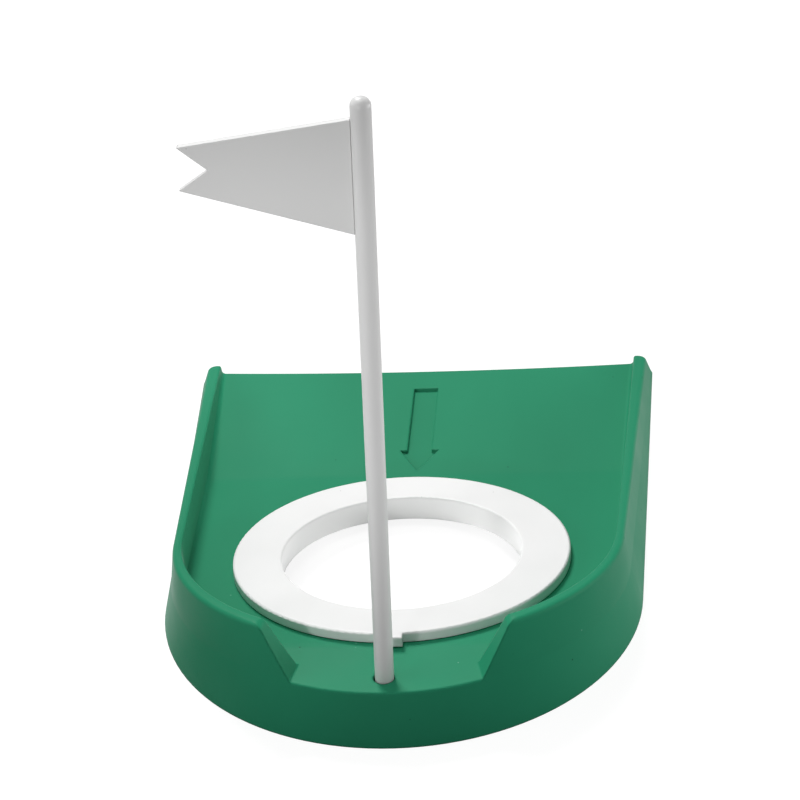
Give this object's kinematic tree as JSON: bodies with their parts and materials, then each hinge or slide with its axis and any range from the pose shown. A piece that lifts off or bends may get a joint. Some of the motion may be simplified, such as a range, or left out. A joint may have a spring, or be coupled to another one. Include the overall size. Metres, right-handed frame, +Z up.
{
  "type": "golf putting cup with flag",
  "caption": "Low indoor putting target: a walled ramp leads up to a cup hole with a lift-out ring, and a pull-out flagstick with a pennant stands behind it.",
  "frame": {"origin": "on the floor, under the middle of the footprint", "axes": "+Z up, +Y from the cup toward the low entry edge of the ramp, +X to the right when the entry edge points away"},
  "size_m": [0.177, 0.2393, 0.2369],
  "materials": {
    "green_plastic": "satin moulded",
    "ring_plastic": "fine satin",
    "stick_plastic": "satin",
    "pennant_plastic": "satin"
  },
  "bodies": {
    "base": {"base_shell": "green_plastic"},
    "ring": {"hole_ring": "ring_plastic"},
    "stick": {"flagstick": "stick_plastic"},
    "flag": {"pennant": "pennant_plastic"}
  },
  "joints": [
    {"name": "ring_lift", "type": "slide", "parent": "base", "child": "ring", "axis": [0, 0.1219, 0.9925], "range_m": [0, 0.06]},
    {"name": "stick_pull", "type": "slide", "parent": "base", "child": "stick", "axis": [0.0349, 0, 0.9994], "range_m": [0, 0.06]},
    {"name": "flag_turn", "type": "hinge", "parent": "stick", "child": "flag", "pos_m": [-0.0008, -0.1074, 0.0138], "axis": [0.0349, 0, 0.9994], "continuous": true}
  ]
}
